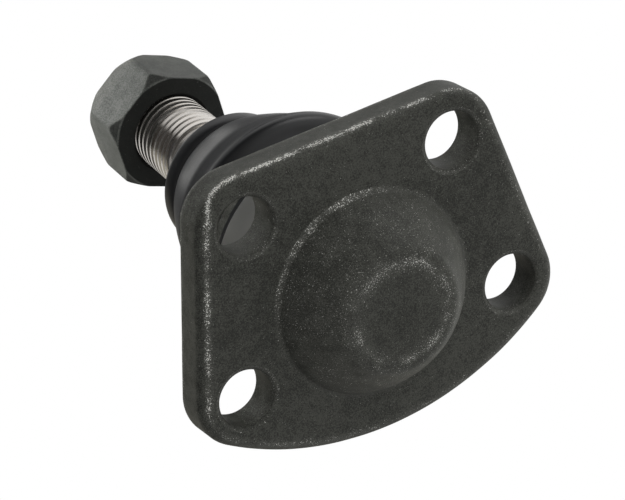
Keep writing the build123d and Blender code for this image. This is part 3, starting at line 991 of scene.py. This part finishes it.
# ---------------------------------------------------------------- stage
WHITE = (1.0, 1.0, 1.0, 1)
DARK_FLAG = (0.035, 0.028, 0.022, 1)
GREY_FLAG = (0.42, 0.40, 0.34, 1)
SIDE_FLAG = (0.04, 0.04, 0.042, 1)
SIDE_FLAG_WAY = (-0.75, 0.66, 0.0)
BRIGHT_SPOT = (1.35, 1.35, 1.32, 1)
GREY_RING = (0.15, 0.15, 0.15, 1)
# Reflections see the sky brightest this way.
BRIGHT_SKY = (0.6, -0.35, 0.7)
FLOOR_HALF_SIZE = 3.0
FLOOR_Z = -0.21
# Share of its white that the floor gives off as light.
FLOOR_LIGHT = 0.75
# Reflections see the flags as sectors round this point of the floor: (degrees from FLAGS_START, colour).
FLAGS_CENTRE = (0.004, 0.023, FLOOR_Z)
FLAGS_START = 130.0
FLAGS = [
    (0, DARK_FLAG),
    (60, DARK_FLAG),
    (80, GREY_FLAG),
    (168, GREY_FLAG),
    (190, WHITE),
    (345, WHITE),
    (360, DARK_FLAG),
]


def floor_colour(n, mirrored):
    """White to the eye; to reflections a bright spot, a grey ring, the flags round it and one more beside."""
    place = n.add("ShaderNodeTexCoord").outputs["Object"]
    from_centre = {0: place, 1: FLAGS_CENTRE}
    along = n.add("ShaderNodeVectorMath", from_centre, operation="SUBTRACT").outputs[0]
    parts = n.add("ShaderNodeSeparateXYZ", {0: along}).outputs
    turn = n.math("DEGREES", n.math("ARCTAN2", parts["Y"], parts["X"]))
    turn = n.math("FLOORED_MODULO", n.math("SUBTRACT", turn, FLAGS_START), 360.0)
    sectors = n.add("ShaderNodeValToRGB", {0: n.math("DIVIDE", turn, 360.0)})
    stops = sectors.color_ramp.elements
    for i, (degrees, tint) in enumerate(FLAGS):
        stop = stops[i] if i < 2 else stops.new(degrees / 360)
        stop.position = degrees / 360
        stop.color = tint
    away = n.add("ShaderNodeVectorMath", {0: along}, operation="LENGTH").outputs["Value"]
    middle = n.mix(n.ramp(away, 0.03, 0.06), BRIGHT_SPOT, GREY_RING)
    flags = n.mix(n.ramp(away, 0.08, 0.13), middle, sectors.outputs[0])
    sideways = {0: along, 1: SIDE_FLAG_WAY}
    side = n.add("ShaderNodeVectorMath", sideways, operation="DOT_PRODUCT").outputs["Value"]
    flags = n.mix(n.ramp(side, 0.1, 0.2), flags, SIDE_FLAG)
    return n.mix(mirrored, WHITE, flags)


def make_floor():
    """A plain pale floor, well below the part."""
    half = FLOOR_HALF_SIZE
    corners = [(x, y, FLOOR_Z) for x, y in ((-half, -half), (half, -half), (half, half), (-half, half))]
    mesh = bpy.data.meshes.new("floor")
    mesh.from_pydata(corners, [], [(0, 1, 2, 3)])
    floor = bpy.data.objects.new("floor", mesh)
    bpy.context.scene.collection.objects.link(floor)
    n = Nodes(bpy.data.materials.new("pale_floor"))
    path = n.add("ShaderNodeLightPath").outputs
    colour = floor_colour(n, path["Is Glossy Ray"])
    strength = n.math("SUBTRACT", 1.0, n.math("MULTIPLY", path["Is Diffuse Ray"], 1.0 - FLOOR_LIGHT))
    glow = n.add("ShaderNodeEmission", {"Color": colour, "Strength": strength})
    n.feed(n.tree.nodes["Material Output"].inputs[0], glow.outputs[0])
    mesh.materials.append(n.owner)


def make_world(level, horizon):
    """White studio: the eye sees white, reflections see a darker horizon, and its light has this level."""
    world = bpy.data.worlds.new("studio")
    bpy.context.scene.world = world
    n = Nodes(world)
    path = n.add("ShaderNodeLightPath").outputs
    towards = {0: n.add("ShaderNodeTexCoord").outputs["Generated"], 1: BRIGHT_SKY}
    aim = n.add("ShaderNodeVectorMath", towards, operation="DOT_PRODUCT").outputs["Value"]
    reflected = n.ramp(aim, -0.1, 0.7, horizon, 1.0)
    indirect = n.mix_numbers(path["Is Glossy Ray"], level, reflected)
    direct = n.math("ADD", path["Is Camera Ray"], path["Is Transmission Ray"], clamp=True)
    background = n.tree.nodes["Background"].inputs
    n.feed(background[0], WHITE)
    n.feed(background[1], n.mix_numbers(direct, indirect, 1.0))


def make_lamp(name, place, size, power, mirrored=False):
    """A rectangular lamp that looks at the part, and is seen in reflections only if mirrored."""
    lamp = bpy.data.lights.new(name, "AREA")
    lamp.shape = "RECTANGLE"
    lamp.size, lamp.size_y = size
    lamp.energy = power
    holder = bpy.data.objects.new(name, lamp)
    holder.location = place
    holder.rotation_euler = (-Vector(place)).to_track_quat("-Z", "Y").to_euler()
    holder.visible_glossy = mirrored
    holder.visible_camera = False
    bpy.context.scene.collection.objects.link(holder)


def make_camera():
    """A long lens above the dome side, rolled so that the stud runs to the upper left."""
    data = bpy.data.cameras.new("camera")
    data.lens = 180.89
    data.sensor_width = 36.0
    data.clip_start, data.clip_end = 0.01, 20.0
    camera = bpy.data.objects.new("camera", data)
    camera.location = (-0.16756, 0.197196, 0.358249)
    camera.rotation_euler = [math.radians(a) for a in (-20.5953, -29.2900, -11.9860)]
    bpy.context.scene.collection.objects.link(camera)
    bpy.context.scene.camera = camera


# ---------------------------------------------------------------- assembly
bpy.context.scene.view_settings.view_transform = "Standard"
make_camera()
make_world(level=0.45, horizon=0.25)
make_floor()
make_lamp("key", (-0.077, 0.064, -0.173), (0.1, 0.1), 0.7)
make_lamp("rim", (0.94, -0.34, -0.09), (0.5, 0.5), 12.0)
make_lamp("low", (-0.17, -0.98, -0.09), (0.5, 0.5), 3.5)
make_lamp("fill", (0.1, 0.56, 0.82), (0.5, 0.5), 4.0)
make_lamp("softbox", (0.62, 0.74, 0.2), (0.55, 0.45), 1.9, mirrored=True)

housing_look = phosphate_material(
    "phosphated_forging",
    dark=(0.014, 0.0145, 0.012, 1),
    light=(0.05, 0.051, 0.044, 1),
    worn=(0.68, 0.68, 0.64, 1),
    wear_reach=0.235,
    grain=5200.0,
    gloss=0.18,
)
nut_look = phosphate_material(
    "phosphated_nut",
    dark=(0.034, 0.036, 0.033, 1),
    light=(0.082, 0.085, 0.078, 1),
    worn=(0.3, 0.3, 0.29, 1),
    wear_reach=0.12,
    grain=4600.0,
    gloss=0.15,
)
steel_look = steel_material()
rubber_look = rubber_material()
wire_look = wire_material()
cup_look = plastic_material("bearing_plastic", (0.75, 0.73, 0.66, 1))
nylon_look = plastic_material("insert_nylon", (0.70, 0.72, 0.70, 1))

housing = make_housing(housing_look)
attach(housing, "housing")
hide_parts("housing")

stud = make_stud(steel_look)
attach(stud, "ball_stud")
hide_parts("ball_stud")

nut = make_nut(nut_look)
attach(nut, "hex_nut")
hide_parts("hex_nut")

boot_collar, boot_bellows = make_boot(rubber_look)
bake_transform(boot_collar)
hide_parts("boot_base")
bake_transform(boot_bellows)
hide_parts("boot_waist", "boot_lip")

NODE_LOOKS = {
    "upper_bearing_cup": cup_look,
    "lower_bearing_ring": cup_look,
    "closing_ring": housing_look,
    "preload_spring": wire_look,
    "nut_insert": nylon_look,
    "boot_base_clamp": wire_look,
    "boot_stud_clamp": wire_look,
}
for node, look in NODE_LOOKS.items():
    piece = frame["nodes"][node]
    piece.data.materials.clear()
    piece.data.materials.append(look)
